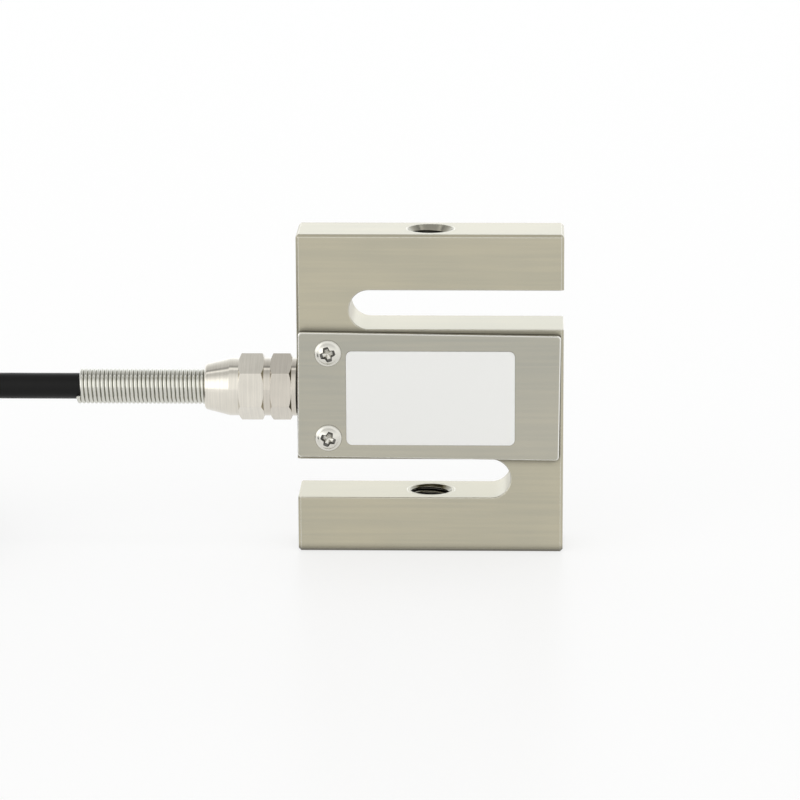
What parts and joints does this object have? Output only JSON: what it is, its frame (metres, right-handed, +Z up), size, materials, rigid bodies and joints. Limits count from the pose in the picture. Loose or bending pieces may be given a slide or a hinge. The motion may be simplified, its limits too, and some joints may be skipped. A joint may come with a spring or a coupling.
{
  "type": "s type load cell",
  "caption": "S-shaped tension and compression load cell with a threaded hole in each arm, screwed cover plates, and a side cable gland with a spring strain relief and a tied hank of cable.",
  "frame": {"origin": "where the axis of the two load threads leaves the bottom face, which is the face the cell stands on", "axes": "+Z up along the load threads' axis, +X along the arms and away from the cable, +Y away from the labelled cover"},
  "size_m": [0.2185, 0.0462, 0.062],
  "materials": {
    "body_metal": "satin nickel plate over alloy steel",
    "cover_metal": "satin nickel-plated sheet",
    "gasket_rubber": "matte black",
    "screw_metal": "bright nickel plate",
    "label_foil": "blank pale grey film",
    "gauge_film": "amber film with a metal foil grid",
    "board_green": "green solder mask with tinned pads",
    "resistor_body": "matte black",
    "core_red": "smooth insulation",
    "core_black": "smooth insulation",
    "core_green": "smooth insulation",
    "core_white": "smooth insulation",
    "gland_nickel": "polished nickel plate over brass",
    "ring_plastic": "natural nylon",
    "spring_metal": "bright drawn spring wire",
    "cable_jacket": "smooth black jacket with a soft sheen",
    "tie_plastic": "black tie",
    "sleeve_plastic": "black shrink sleeve",
    "tinned_wire": "tinned copper strands"
  },
  "bodies": {
    "root": {"s_body": "body_metal", "front_cover": "cover_metal", "back_cover": "cover_metal", "front_gasket": "gasket_rubber", "back_gasket": "gasket_rubber", "front_screw_upper": "screw_metal", "front_screw_lower": "screw_metal", "back_screw_upper": "screw_metal", "back_screw_lower": "screw_metal", "front_label": "label_foil", "strain_gauge_front": "gauge_film", "strain_gauge_back": "gauge_film", "terminal_board": "board_green", "span_resistor": "resistor_body", "balance_resistor": "resistor_body", "core_inner_red": "core_red", "core_inner_black": "core_black", "core_inner_green": "core_green", "core_inner_white": "core_white", "gland_body": "gland_nickel", "gland_cap_nut": "gland_nickel", "gland_washer": "gasket_rubber", "clamp_ring": "ring_plastic", "seal_grommet": "gasket_rubber", "relief_spring": "spring_metal", "cable_in_gland": "cable_jacket", "cable_lead": "cable_jacket", "cable_hank": "cable_jacket", "hank_tie": "tie_plastic", "cable_tail": "cable_jacket", "end_sleeve": "sleeve_plastic", "end_core_red": "core_red", "end_core_black": "core_black", "end_core_green": "core_green", "end_core_white": "core_white", "drain_wire": "tinned_wire"}
  },
  "joints": []
}
